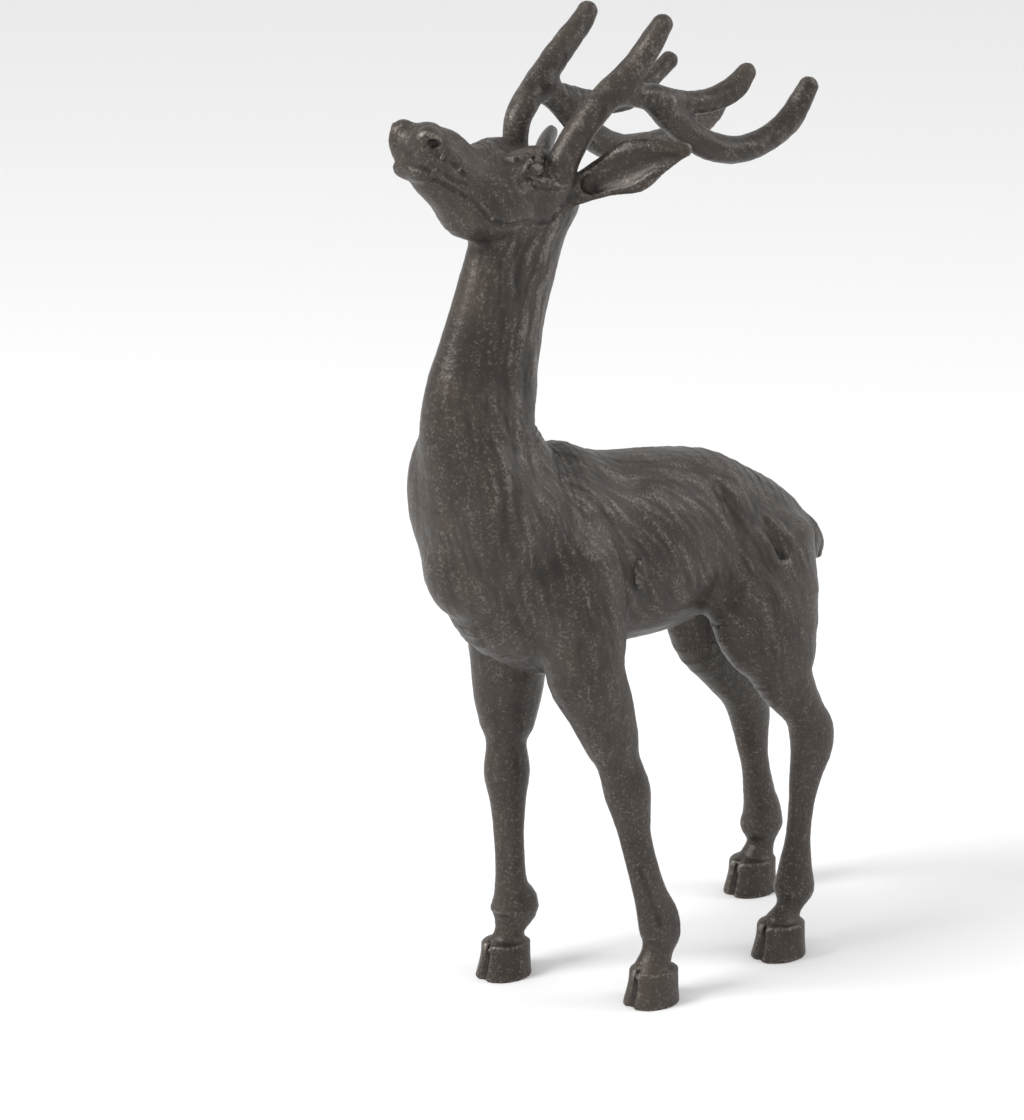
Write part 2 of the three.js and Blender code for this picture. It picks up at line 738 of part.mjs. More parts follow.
// The closed mesh with edges folded away, the flattest first, until few enough triangles are left.
function reduced({ points, faces }, keep) {
  const places = [];
  for (let i = 0; i < points.length; i += 3) {
    places.push(new THREE.Vector3(points[i], points[i + 1], points[i + 2]));
  }
  const around = places.map(() => []);
  const squares = places.map(() => new Square());
  const stamp = new Uint32Array(places.length);
  const a = new THREE.Vector3();
  const b = new THREE.Vector3();
  faces.forEach((face, f) => {
    const p = places[face[0]];
    a.subVectors(places[face[1]], p).cross(b.subVectors(places[face[2]], p));
    const area = a.length() / 2;
    const weight = area * detail(p.z);
    a.normalize();
    for (const v of face) {
      around[v].push(f);
      squares[v].addPlane(a.x, a.y, a.z, -a.dot(p), weight);
    }
  });
  const neighbours = (v) => {
    const list = [];
    for (const f of around[v]) for (const w of faces[f]) if (w !== v && !list.includes(w)) list.push(w);
    return list;
  };
  const heap = new Heap();
  const sum = new Square();
  const point = new THREE.Vector3();
  const queue = (v, w) => {
    sum.setSum(squares[v], squares[w]).best(places[v], places[w], point);
    const cost = sum.at(point) + EDGE_COST * places[v].distanceToSquared(places[w]);
    heap.push({ cost, v, w, stamps: stamp[v] + stamp[w], tries: 0 });
  };
  places.forEach((_, v) => {
    for (const w of neighbours(v)) if (v < w) queue(v, w);
  });
  const e1 = new THREE.Vector3();
  const e2 = new THREE.Vector3();
  const before = new THREE.Vector3();
  // Whether moving v to the point would turn a triangle over or make a thinner sliver of it.
  const spoils = (v, other) => {
    for (const f of around[v]) {
      const face = faces[f];
      const i = face.indexOf(v);
      const q = places[face[(i + 1) % 3]];
      const r = places[face[(i + 2) % 3]];
      if (q === places[other] || r === places[other]) continue;
      const base = q.distanceToSquared(r);
      e1.subVectors(q, places[v]);
      e2.subVectors(r, places[v]);
      const fullBefore = before.crossVectors(e1, e2).length() / Math.max(e1.lengthSq(), e2.lengthSq(), base);
      e1.subVectors(q, point);
      e2.subVectors(r, point);
      const longest = Math.max(e1.lengthSq(), e2.lengthSq(), base);
      const area = e1.cross(e2).length();
      if (area < SLIVER * longest && area < fullBefore * longest) return true;
      const turned = e1.dot(before) < MOST_TURN * area * before.length();
      if (turned && fullBefore > FLAT_ENOUGH) return true;
    }
    return false;
  };
  let left = faces.length;
  while (left > keep && heap.items.length) {
    const edge = heap.pop();
    const { v, w } = edge;
    if (!around[v] || !around[w] || edge.stamps !== stamp[v] + stamp[w]) continue;
    const near = neighbours(w);
    const common = neighbours(v).filter((n) => near.includes(n));
    const shared = around[v].filter((f) => faces[f].includes(w));
    if (shared.length !== 2 || common.length !== 2) continue;
    sum.setSum(squares[v], squares[w]).best(places[v], places[w], point);
    const tiny = places[v].distanceTo(places[w]) < CRUMB;
    if (!tiny && (spoils(v, w) || spoils(w, v))) {
      edge.tries++;
      edge.cost = 2 * edge.cost + EDGE_COST;
      if (edge.tries < MOST_TRIES) heap.push(edge);
      continue;
    }
    for (const f of shared) {
      for (const n of faces[f]) around[n].splice(around[n].indexOf(f), 1);
      faces[f] = null;
      left--;
    }
    for (const f of around[w]) {
      faces[f][faces[f].indexOf(w)] = v;
      around[v].push(f);
    }
    around[w] = null;
    places[v].copy(point);
    squares[v].setSum(squares[v], squares[w]);
    stamp[v]++;
    for (const n of neighbours(v)) queue(v, n);
  }
  return { places, faces: faces.filter(Boolean) };
}

// The casting as a solid, its soles cut flat on the ground.
async function cast() {
  const { places, faces } = reduced(surfaceOf(), FACETS);
  const wasm = await Module();
  wasm.setup();
  const solid = (positions, index) =>
    new wasm.Manifold(
      new wasm.Mesh({
        numProp: 3,
        vertProperties: Float32Array.from(positions),
        triVerts: Uint32Array.from(index),
      }),
    );
  const used = new Map();
  const positions = [];
  const index = faces.flat().map((v) => {
    if (!used.has(v)) {
      used.set(v, used.size);
      positions.push(...places[v].toArray());
    }
    return used.get(v);
  });
  const { across, along, deep } = GROUND;
  const block = new THREE.BoxGeometry(across, along, deep).translate(0, 0, -deep / 2);
  block.deleteAttribute("normal");
  block.deleteAttribute("uv");
  const ground = mergeVertices(block);
  const below = solid(ground.getAttribute("position").array, ground.index.array);
  const made = solid(positions, index).subtract(below).getMesh();
  const geometry = new THREE.BufferGeometry();
  geometry.setAttribute("position", new THREE.BufferAttribute(made.vertProperties, 3));
  geometry.setIndex(new THREE.BufferAttribute(made.triVerts, 1));
  geometry.computeVertexNormals();
  return geometry;
}

const stag = new THREE.Mesh(await cast(), new THREE.MeshStandardMaterial(PAINT));
stag.name = "stag";

const statue = new THREE.Group();
statue.add(stag);
export default statue;
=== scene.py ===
# A dark cast iron stag on a pale studio floor.
# The figure is drawn in millimetres, faces -Y and has its left side at +X; Blender gets metres.

import math

import bmesh
import bpy
import numpy as np
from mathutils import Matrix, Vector


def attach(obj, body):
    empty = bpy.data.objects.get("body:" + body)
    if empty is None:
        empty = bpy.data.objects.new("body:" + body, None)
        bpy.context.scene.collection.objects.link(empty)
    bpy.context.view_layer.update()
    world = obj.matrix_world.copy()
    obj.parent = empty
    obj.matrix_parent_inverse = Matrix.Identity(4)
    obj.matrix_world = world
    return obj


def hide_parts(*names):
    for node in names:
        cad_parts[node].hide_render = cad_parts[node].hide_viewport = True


MM = 0.001
LEFT = 1
RIGHT = -1
SIDES = (LEFT, RIGHT)

VOXEL = 1.2

# The casting is shown by three patches, cut at this height and at this place along the body.
NECK_CUT = 385
WAIST_CUT = -5

# The relief fades out this near the ground, so that the soles stay flat.
SOLE_FADE = 3

# Above this height, and behind the muzzle, the relief turns to the antlers' long grooves.
ANTLERS_FROM = 500
ANTLERS_EASE = 6
MUZZLE_ENDS = -95
ANTLER_WAY = (0.05, 0.15, 1)
ANTLER_HEIGHTS = (0.32, 0.08)

# Grain is the width of one cell of the noise, and reach is how far it is combed.
TABLE_SIZE = 32
COMB_STEPS = 9
COMB_GAIN = 2.6
LOCK_GRAIN, LOCK_REACH, LOCK_SHARE = 4.6, 26, 0.55
HAIR_GRAIN, HAIR_REACH, HAIR_SHARE = 2.5, 13, 0.6
WAVE_GRAIN, WAVE_HEIGHT, WAVE_SHIFTS = 11, 1.6, (3.3, 9.1, 17.7)
PEBBLE_GRAIN, PEBBLE_SHARE = 1.9, 0.7
BUMP_GRAIN, BUMP_SHARE, BUMP_SHIFT = 3.3, 0.6, 5

# The wear-and-light value is 0.5 on level skin, and grows with the relief and with how far a point
# stands out; its low end paints shade into creases and grooves, its high end gives rubbed grey that
# is partly real wear and partly painted highlight.
LEVEL_WEAR_AND_LIGHT = 0.5
WEAR_AND_LIGHT_BY_HEIGHT = 0.7
WEAR_AND_LIGHT_BY_CREST = 0.1
CREST_UNIT = 0.1

UMBER = (0.030, 0.022, 0.017)
BROWN = (0.052, 0.040, 0.032)
# The crease colour is painted shade: the dark laid into creases and grooves where shade falls.
PAINTED_CREASE_SHADE = (0.010, 0.008, 0.007)
# The rubbed grey is partly real wear on raised hair and bulges and partly painted highlight glints.
RUBBED_GREY_AND_GLINT = (0.2, 0.18, 0.16)
FLOOR_WHITE = (0.86, 0.86, 0.86)
PATCH_SCALE = 28
GRAIN_SCALE = 700
NOISE_DETAIL = 3
GRAIN_DEPTH = 0.0004
GRAIN_STRENGTH = 0.6

# Studio, in metres and watts.
FLOOR_REACH = 9.0
SKY_STRENGTH = 0.85
LIT_PLACE = (0, 0, 0.3)
KEY_PLACE, KEY_WIDTH, KEY_HEIGHT, KEY_WATTS = (-0.5, -1.7, 1.9), 0.9, 0.9, 42
RIM_PLACE, RIM_WIDTH, RIM_HEIGHT, RIM_WATTS = (1.2, 1.6, 1.4), 0.8, 1.4, 12

AZIMUTH = math.radians(47)
ELEVATION = math.radians(17)
AIM = Vector((0, 0, 0.28))
AWAY = 3.0
SENSOR = 36
LENS = 173.3
SHIFT = (-0.1014, -0.055)

# The stations below are drawn on a figure of these sizes, then stretched to the real ones.
SIZE = np.array([129.5, 320.0, 558.8])
STRETCH = SIZE / (129.5, 327.5, 559.5)
MIDDLE = np.array([-0.35, 2.0, 0.0])
GIRTH = STRETCH.prod() ** (1 / 3)

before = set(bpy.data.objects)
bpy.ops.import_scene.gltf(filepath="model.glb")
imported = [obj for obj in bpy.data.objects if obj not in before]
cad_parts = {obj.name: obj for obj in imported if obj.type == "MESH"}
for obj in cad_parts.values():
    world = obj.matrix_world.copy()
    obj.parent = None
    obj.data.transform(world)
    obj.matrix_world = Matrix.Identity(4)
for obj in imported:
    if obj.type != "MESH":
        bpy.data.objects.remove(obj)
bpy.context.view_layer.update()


# Smooth curve through points, the same one that carries the solid's limbs.
def hermite(x1, x2, t1, t2, w):
    c2 = -3 * x1 + 3 * x2 - 2 * t1 - t2
    c3 = 2 * x1 - 2 * x2 + t1 + t2
    return x1 + t1 * w + c2 * w * w + c3 * w * w * w


def along_curve(points, spans, tension=None):
    points = np.asarray(points, float)
    first = 2 * points[0] - points[1]
    last = 2 * points[-1] - points[-2]
    padded = np.vstack([first, points, last])
    made = []
    for step in range(spans + 1):
        p = (len(points) - 1) * step / spans
        i = min(int(p), len(points) - 2)
        x0, x1, x2, x3 = padded[i : i + 4]
        if tension is None:
            dt0, dt1, dt2 = (np.linalg.norm(b - a) ** 0.5 for a, b in ((x0, x1), (x1, x2), (x2, x3)))
            t1 = ((x1 - x0) / dt0 - (x2 - x0) / (dt0 + dt1) + (x2 - x1) / dt1) * dt1
            t2 = ((x2 - x1) / dt1 - (x3 - x1) / (dt1 + dt2) + (x3 - x2) / dt2) * dt1
        else:
            t1 = tension * (x2 - x0)
            t2 = tension * (x3 - x1)
        made.append(hermite(x1, x2, t1, t2, p - i))
    return np.array(made)


def joined(a, b, blend):
    h = np.maximum(blend - np.abs(a - b), 0) / blend
    return np.minimum(a, b) - h * h * blend / 4


def carved(a, b, blend):
    return -joined(-a, b, blend)


def to_ellipsoid(u, v, w, ru, rv, rw):
    a, b, c = u / ru, v / rv, w / rw
    k0 = np.sqrt(a * a + b * b + c * c)
    k1 = np.sqrt((a / ru) ** 2 + (b / rv) ** 2 + (c / rw) ** 2)
    deep = -np.minimum(np.minimum(ru, rv), rw)
    return np.where(k1 < 1e-9, deep, k0 * (k0 - 1) / np.maximum(k1, 1e-9))


# One rounded form with oval sections: stations are [x, y, z, half width across, half depth].
class Limb:
    def __init__(self, stations, across=(1, 0, 0), steps=4, side=LEFT, cap=0):
        self.cap = cap * GIRTH
        centres = [STRETCH * ((s[0] * side, s[1], s[2]) - MIDDLE) for s in stations]
        halves = [[GIRTH * s[3], GIRTH * (s[4] if len(s) > 4 else s[3])] for s in stations]
        spans = (len(stations) - 1) * steps
        points = along_curve(centres, spans)
        self.sizes = along_curve(halves, spans, 0.4)
        reach = self.sizes.max(1)[:, None]
        self.low = (points - reach).min(0)
        self.high = (points + reach).max(0)
        axes = np.diff(points, axis=0)
        self.lengths = np.linalg.norm(axes, axis=1)
        self.axes = axes / self.lengths[:, None]
        wide = np.array([across[0] * side, across[1], across[2]], float)
        wide /= np.linalg.norm(wide)
        u = wide - (self.axes @ wide)[:, None] * self.axes
        self.u = u / np.linalg.norm(u, axis=1)[:, None]
        self.v = np.cross(self.axes, self.u)
        self.starts = points[:-1]

    def distance(self, p):
        nearest = np.full(len(p), np.inf)
        pick = np.zeros(len(p), int)
        part = np.zeros(len(p))
        for i, (start, axis, length) in enumerate(zip(self.starts, self.axes, self.lengths)):
            d = p - start
            along = d @ axis
            inside = np.clip(along, 0, length)
            away = np.einsum("ij,ij->i", d, d) - along * along + (along - inside) ** 2
            near = away < nearest
            nearest[near] = away[near]
            pick[near] = i
            part[near] = inside[near]
        d = p - self.starts[pick]
        along = np.einsum("ij,ij->i", d, self.axes[pick])
        du = np.einsum("ij,ij->i", d, self.u[pick])
        dv = np.einsum("ij,ij->i", d, self.v[pick])
        t = (part / self.lengths[pick])[:, None]
        wide, deep = (self.sizes[pick] * (1 - t) + self.sizes[pick + 1] * t).T
        return to_ellipsoid(du, dv, along - part, wide, deep, self.cap or np.minimum(wide, deep))


# An egg-like swelling: centre, half sizes, and turns about its own axes in degrees.
class Swelling:
    def __init__(self, centre, halves, turns=(0, 0, 0), side=LEFT):
        self.centre = STRETCH * ((centre[0] * side, centre[1], centre[2]) - MIDDLE)
        self.halves = GIRTH * np.array(halves, float)
        a, b, c = np.radians([turns[0], turns[1] * side, turns[2] * side])
        about_x = np.array([[1, 0, 0], [0, math.cos(a), -math.sin(a)], [0, math.sin(a), math.cos(a)]])
        about_y = np.array([[math.cos(b), 0, math.sin(b)], [0, 1, 0], [-math.sin(b), 0, math.cos(b)]])
        about_z = np.array([[math.cos(c), -math.sin(c), 0], [math.sin(c), math.cos(c), 0], [0, 0, 1]])
        self.turn = about_z @ about_y @ about_x
        self.low = self.centre - self.halves.max()
        self.high = self.centre + self.halves.max()

    def distance(self, p):
        u, v, w = ((p - self.centre) @ self.turn).T
        return to_ellipsoid(u, v, w, *self.halves)


forms = []


def add(shape, blend):
    forms.append((shape, blend * GIRTH, False))


def carve(shape, blend):
    forms.append((shape, blend * GIRTH, True))


# The distance to the figure, for points that stay within a few millimetres of its surface.
class Figure:
    NEAR = 4.0

    def __init__(self, points):
        self.chosen = []
        for shape, blend, _ in forms:
            gap = np.maximum(np.maximum(shape.low - points, points - shape.high), 0)
            self.chosen.append(np.flatnonzero(np.linalg.norm(gap, axis=1) < blend + self.NEAR))

    def distance(self, points):
        d = np.full(len(points), 60.0)
        for (shape, blend, cut), chosen in zip(forms, self.chosen):
            if len(chosen):
                own = shape.distance(points[chosen])
                d[chosen] = (carved if cut else joined)(d[chosen], own, blend)
        return np.maximum(d, -points[:, 2])

    def slope(self, points, d, step=0.05):
        g = np.empty_like(points)
        for axis in range(3):
            moved = points.copy()
            moved[:, axis] += step
            g[:, axis] = (self.distance(moved) - d) / step
        return g

    # Moves points onto the surface, and gives them with their normals.
    def settle(self, points, rounds=3, most=1.5):
        for _ in range(rounds):
            d = self.distance(points)
            g = self.slope(points, d)
            size = np.maximum((g * g).sum(1), 0.05)
            move = np.clip(d / np.sqrt(size), -most, most) / np.sqrt(size)
            points = points - move[:, None] * g
        return points, g / np.linalg.norm(g, axis=1)[:, None]


# Chest, ribs, belly and rump.
def add_trunk():
    trunk = [
        [0, -106.5, 273.5, 32.5, 41],
        [0, -85, 263.5, 38, 55.2],
        [0, -58, 258.5, 40, 66.5],
        [0, -20, 256, 40.5, 56],
        [0, 20, 252.5, 40, 53.4],
        [0, 58, 251.2, 39, 46.9],
        [0, 92, 245, 31, 33.7],
        [0, 119, 233, 22, 26.7],
        [0, 138, 223, 14, 15.5],
    ]
    add(Limb(trunk), 6)


def add_neck():
    neck = [
        [0, -101, 306, 33, 43],
        [0, -110.3, 338, 28, 34.6],
        [0, -107.5, 361, 24.5, 34.8],
        [0, -101.3, 383, 21.5, 32],
        [0, -94.3, 405, 19.5, 30],
        [0, -86, 427, 18.8, 29.3],
        [0, -77.3, 449, 19, 28.7],
        [0, -65.2, 465, 19.8, 26],
    ]
    add(Limb(neck), 11)
    for side in SIDES:
        add(Swelling([22, -115, 298], [18, 21, 40], [12, 0, 0], side), 12)
        add(Swelling([18.5, -110.5, 291], [18, 18.5, 27], [14, 0, 0], side), 10)


def add_head():
    skull = [
        [0, -147, 503.3, 13.5, 15.2],
        [0, -138, 495.4, 15, 19.2],
        [0, -126, 484.7, 17, 20],
        [0, -112, 476.2, 19.5, 27.3],
        [0, -95, 470.8, 21.5, 25],
        [0, -76, 470, 22, 23.5],
        [0, -62, 468, 19, 21],
    ]
    add(Limb(skull), 8)
    for side in SIDES:
        add(Swelling([15, -88, 489.2], [8, 15, 7], [18, 0, 12], side), 6)
        add(Swelling([13, -104, 470], [11, 20, 17], [22, 0, 0], side), 8)
        carve(Swelling([26, -90, 484], [6, 11, 6], [18, 0, 0], side), 4)
        add(Swelling([18.5, -85, 485.5], [6, 6.5, 5], [18, 0, 0], side), 1.5)
        add(Swelling([10, -151.6, 506], [8, 9, 13], [12, 0, 0], side), 4)
        add(Swelling([5, -152.6, 495], [9, 9.5, 7.3], [15, 0, 0], side), 4)
        carve(Swelling([17, -155, 510], [3.5, 4.5, 2.8], [25, 0, 30], side), 2)
        lips = [
            [4, -164, 498, 2, 1.6],
            [13, -161, 497, 3, 1.6],
            [19, -150, 494, 3, 1.5],
            [18.5, -134, 487, 2, 1],
        ]
        carve(Limb(lips, side=side), 2)


# The left ear stands out to the side, and the right one leans farther back.
def add_ears():
    left = [
        [19, -55.5, 468.5, 7.6, 6.5],
        [30, -44, 476.5, 10.6, 6],
        [43, -34, 483.8, 14.8, 5.5],
        [54, -23.3, 490, 9.4, 4.5],
        [62.6, -11.8, 492.8, 3.6, 2.6],
    ]
    right = [
        [18.5, -57, 466.5, 8, 7],
        [31, -37, 468.5, 11, 6.3],
        [43, -23, 471.5, 14, 5.5],
        [54, -8, 475.6, 11, 4.5],
        [62.9, 5, 477.2, 4.4, 2.8],
    ]
    across = [-0.3, 0.1, 0.95]
    # Where the hollow lies on the leaf, and its share of the width.
    before, below, share = 8.5, 2, 0.66
    for leaf, side in [[left, LEFT], [right, RIGHT]]:
        add(Limb(leaf, side=side, across=across), 4)
        base_with_painted_shade = [[x, y - before, z - below, wide * share, deep] for x, y, z, wide, deep in leaf[1:]]
        carve(Limb(base_with_painted_shade, side=side, across=across), 2)


# Each antler rises from its pedicle into the front tine; its beam sweeps back with a tine on top.
def add_antlers():
    left_front = [
        [18, -66, 477, 9],
        [19.5, -62.5, 488.5, 8.5],
        [21, -51.5, 503, 8.2],
        [23.5, -36, 518, 7.9],
        [26.5, -16.8, 532.5, 7.4],
        [28.6, -5.3, 546, 6.7],
        [29.5, 1, 554, 5.8],
    ]
    left_beam = [
        [24.5, -31, 519.8, 6.8],
        [27.5, -7.5, 514.9, 6.9],
        [29.5, 6.7, 503.3, 8.6],
        [31.5, 19, 492, 8.1],
        [33.5, 34, 482.5, 8.1],
        [35, 55.5, 477.4, 7.7],
        [36, 77.5, 480.8, 7.1],
        [36.5, 94.3, 489.5, 7.1],
        [37, 107.4, 505.2, 5.7],
    ]
    left_rear = [
        [28, -3, 515.3, 6],
        [30, 20, 508.3, 6.4],
        [31.5, 39, 507.6, 6.9],
        [32.5, 53.5, 511.8, 7],
        [33, 62.3, 519, 5.6],
    ]
    right_front = [
        [18, -63, 477, 7.7],
        [19, -63.4, 490, 7],
        [20, -60.8, 502.5, 7.3],
        [21.5, -53.1, 511, 7.6],
        [24, -41, 520.6, 7.6],
        [26, -27.7, 530.5, 7.4],
        [28, -15, 539.3, 7.1],
        [29, -4.2, 547.2, 6.4],
        [29.5, 0.7, 552.4, 5.7],
    ]
    right_beam = [
        [24, -38, 517, 8.3],
        [24.5, -26, 508, 7.6],
        [26, -10, 493, 7.8],
        [27.5, 8, 479, 8.2],
        [29.5, 27, 471.8, 7.8],
        [31.5, 45, 469.9, 7.2],
        [33, 66, 470, 6.8],
        [35, 89, 472.5, 6.4],
        [36, 104, 479, 6],
        [36, 112.5, 487, 4.8],
    ]
    right_rear = [
        [25, -22, 509.6, 6.3],
        [28, 10, 500, 6.4],
        [30, 34, 499, 6],
        [31, 50.3, 506.6, 5.2],
        [32, 65.8, 515, 5.1],
    ]
    for horn in [left_front, left_beam]:
        add(Limb(horn), 5)
    add(Limb(left_rear), 4)
    for horn in [right_front, right_beam]:
        add(Limb(horn, side=RIGHT), 5)
    add(Limb(right_rear, side=RIGHT), 4)


# A hoof standing on (x, y): a block flaring to the sole, with a narrow cleft down its front.
def add_hoof(x, y, side):
    wall = [
        [x, y + 2, 19, 12.8, 14.9],
        [x, y + 1.6, 11, 13.4, 15.1],
        [x, y, -2, 15, 17.3],
    ]
    add(Limb(wall, side=side, cap=3), 2)
    cleft = [
        [x, y - 9.5, 21, 1.2],
        [x, y - 13.5, 10, 1.8],
        [x, y - 18, -2, 2.4],
    ]
    carve(Limb(cleft, side=side), 2.5)


def add_leg(stations, side):
    add(Limb(stations, side=side), 9)


def add_forelegs():
    right = [
        [28, -62, 262, 21, 32],
        [31.5, -60, 225, 22, 27],
        [33.5, -57.8, 193, 20.5, 22.8],
        [35.3, -56.6, 172, 17.2, 21.6],
        [36.5, -56.2, 152, 13.8, 16.8],
        [36.9, -56.8, 141, 10.4, 12.4],
        [37.5, -56, 123, 12, 14],
        [38, -54.8, 105, 9.4, 10.9],
        [38.5, -54, 87, 8.1, 9.2],
        [39, -52.7, 68, 7.8, 9],
        [39.5, -51.4, 53, 8.8, 10],
        [40, -48.7, 39, 12, 15.3],
        [40.2, -52, 26.5, 7.8, 9.2],
        [40.4, -53.5, 18, 10, 11.5],
    ]
    left = [
        [28, -64, 262, 20, 32],
        [33.5, -63, 228, 22.5, 26],
        [36, -63.2, 202, 20.5, 23],
        [38.6, -55.2, 181, 17.8, 19.8],
        [40.3, -47.9, 160, 14.7, 16.2],
        [41.2, -43.1, 146, 11.8, 12.6],
        [42.5, -37.6, 128, 12.2, 13.7],
        [43.2, -34.5, 112, 9.8, 11.3],
        [43.6, -32.9, 102, 8.4, 9.6],
        [44.6, -28.8, 85, 8.2, 9.2],
        [45.4, -22.8, 65, 8.8, 9.8],
        [46, -16.6, 48, 10.8, 12.5],
        [46.3, -15.3, 38, 10.6, 12],
        [46.5, -17.8, 29, 8.2, 9.2],
        [46.8, -22.5, 18, 10, 11.5],
    ]
    add_leg(right, RIGHT)
    add_leg(left, LEFT)
    add_hoof(40.5, -57, RIGHT)
    add_hoof(46.9, -22.9, LEFT)


def add_hind_legs():
    left = [
        [26, 85, 244, 17.5, 38],
        [31, 82.6, 209, 18.5, 39.3],
        [33, 87.6, 188, 17.9, 33],
        [34.5, 90.9, 176, 16.5, 26],
        [36, 94.2, 162, 14.8, 18],
        [39.2, 106.6, 141, 11.8, 12.2],
        [40.5, 111.6, 129, 12, 13.7],
        [41, 111.5, 119, 11.4, 13.2],
        [42, 105.6, 102, 8.5, 10.1],
        [42.8, 101.7, 86, 6.8, 8],
        [43.5, 98.6, 68, 6.7, 7.7],
        [44.2, 95.8, 50, 8.8, 10.6],
        [44.7, 94, 37, 10.6, 13.2],
        [45, 90, 27, 7, 7.8],
        [45.1, 84, 18, 10, 11],
    ]
    right = [
        [24, 90, 244, 16, 36],
        [27, 93, 209, 17, 32],
        [30, 98.3, 180, 17, 28.5],
        [33, 116.8, 150, 13.5, 19.6],
        [35.5, 131.8, 129, 11.6, 15],
        [37.5, 139.3, 112.6, 10.2, 13.6],
        [38.6, 142.5, 95, 8.7, 10.6],
        [39, 145.6, 80, 7.6, 8.8],
        [39.2, 149.4, 60, 8.8, 10],
        [39.3, 152, 48, 10.6, 12.2],
        [39.4, 151.8, 39, 11.6, 13.6],
        [39.4, 151.2, 28.5, 7.8, 8.6],
        [39.4, 147.5, 18, 10, 11.5],
    ]
    add_leg(left, LEFT)
    add_leg(right, RIGHT)
    add_hoof(45.2, 81.4, LEFT)
    add_hoof(39.4, 142.5, RIGHT)


# Shoulder, elbow, ribs and haunch, with the folds between them.
def add_muscles():
    behind_shoulder = [
        [30, -56, 318, 2, 2],
        [39, -48, 298, 2.6, 2.6],
        [43.5, -41, 272, 2.6, 2.6],
        [44.5, -36, 250, 2.4, 2.4],
        [42, -40, 232, 2, 2],
    ]
    flank = [
        [30, 46, 286, 2, 2],
        [39.5, 50, 268, 3, 3],
        [42.5, 53, 243, 3.4, 3.4],
        [40, 47, 220, 2.8, 2.8],
    ]
    hip = [
        [31, 68, 285, 2, 2],
        [39.5, 74, 264, 2.4, 2.4],
        [42, 84, 240, 2, 2],
    ]
    for side in SIDES:
        add(Swelling([27, -88, 292], [13, 18, 24], [15, 0, 0], side), 8)
        add(Swelling([31, -70, 257], [12, 19, 25], [-10, 0, 0], side), 7)
        add(Swelling([31, -53.5, 239], [13, 23, 20], [-20, 0, 0], side), 8)
        add(Swelling([24, 2, 254], [19, 38, 40], [0, 0, 0], side), 10)
        add(Swelling([25, 82, 220], [16, 34, 32], [0, 0, 0], side), 9)
        add(Swelling([26, 60, 268], [10, 11, 17], [10, 0, 0], side), 7)
        add(Swelling([31, 76, 240], [10, 14, 24], [-8, 0, 0], side), 6)
        for fold in [behind_shoulder, flank, hip]:
            carve(Limb(fold, side=side), 6)
        add(Swelling([40, -46, 238], [4, 6, 7], [0, 0, 0], side), 3)
        add(Swelling([42, -27, 252], [1.6, 4, 9], [0, 0, 0], side), 2)


def add_tail():
    tail = [
        [0, 136, 241.5, 8, 7],
        [0, 147.5, 233.5, 7.5, 6],
        [0, 154.5, 223.5, 6, 4.8],
        [0, 156.3, 216, 3, 3],
    ]
    add(Limb(tail), 4)




# A thin round line, raised or sunk; its points are [x, y, z] on the skin of the left side.
def cord(line, radius, side=LEFT):
    return Limb([[*place, radius] for place in line], steps=3, side=side)


# Eyeball in its socket, with both lids, the brow above and the fold below.
def add_eye(side):
    upper_lid = [
        [22.2, -94.1, 489.3],
        [21.7, -90, 491.9],
        [21.4, -83.9, 491.7],
        [20, -74.7, 483.6],
        [22.6, -74, 479.6],
        [24.6, -72.2, 475.8],
    ]
    lower_lid = [
        [21.9, -94.8, 487.9],
        [21.7, -90.1, 483.7],
        [20.2, -81.4, 480.4],
        [21.4, -76.1, 478.1],
    ]
    brow = [
        [15.3, -100.9, 492.8],
        [18.8, -94.6, 493.2],
        [18.7, -87.2, 495.3],
        [19.7, -80.8, 494.2],
    ]
    fold = [
        [20.7, -90.1, 480.8],
        [21.5, -84.4, 476.7],
        [22.4, -77.9, 474.3],
        [24.4, -72.4, 474.4],
    ]
    carve(Swelling([22.5, -86, 486.5], [3.5, 7, 5], side=side), 2)
    add(Swelling([21, -85.5, 486.8], [4.2, 5, 3.9], side=side), 0.6)
    add(cord(upper_lid, 1, side), 1.2)
    add(cord(lower_lid, 1.1, side), 1.2)
    add(cord(brow, 0.9, side), 3)
    carve(cord(fold, 0.9, side), 2)


def add_jaw_and_mouth(side):
    jaw = [
        [16.4, -128.8, 478.1],
        [20.4, -119, 465.3],
        [21.8, -106.8, 459.1],
        [21.8, -97.6, 459.2],
        [20.1, -81.4, 456.2],
        [20.4, -74.3, 456.2],
        [21.3, -66.2, 462.7],
        [24.7, -59, 468.2],
    ]
    mouth = [
        [10.9, -159.3, 498],
        [12.6, -156.6, 497.1],
        [14.9, -150.8, 495],
        [14, -142.2, 490.2],
        [15.1, -136.1, 486.7],
        [16, -131.2, 485.2],
    ]
    under_lip = [
        [10.9, -150.2, 488.8],
        [12.7, -143.3, 485.8],
        [13.8, -137.2, 481.8],
        [15.1, -131.2, 477.8],
    ]
    cheek_crease = [
        [17.6, -153.1, 503.9],
        [16.1, -146.2, 500.9],
        [14.8, -137.9, 495.6],
        [15.6, -133, 490.6],
    ]
    carve(cord(jaw, 0.5, side), 3)
    carve(cord(mouth, 0.8, side), 1.2)
    carve(cord(under_lip, 0.9, side), 2)
    carve(cord(cheek_crease, 1, side), 2.5)


def add_nostril(side):
    rim = [
        [9.7, -159.5, 513.7],
        [12.1, -158, 515.5],
        [14.7, -155.3, 515],
        [15.3, -150.9, 511.7],
    ]
    add(cord(rim, 1.1, side), 1.6)
    carve(Swelling([14.8, -152.3, 510.3], [2.4, 2.6, 1.7], side=side), 1)


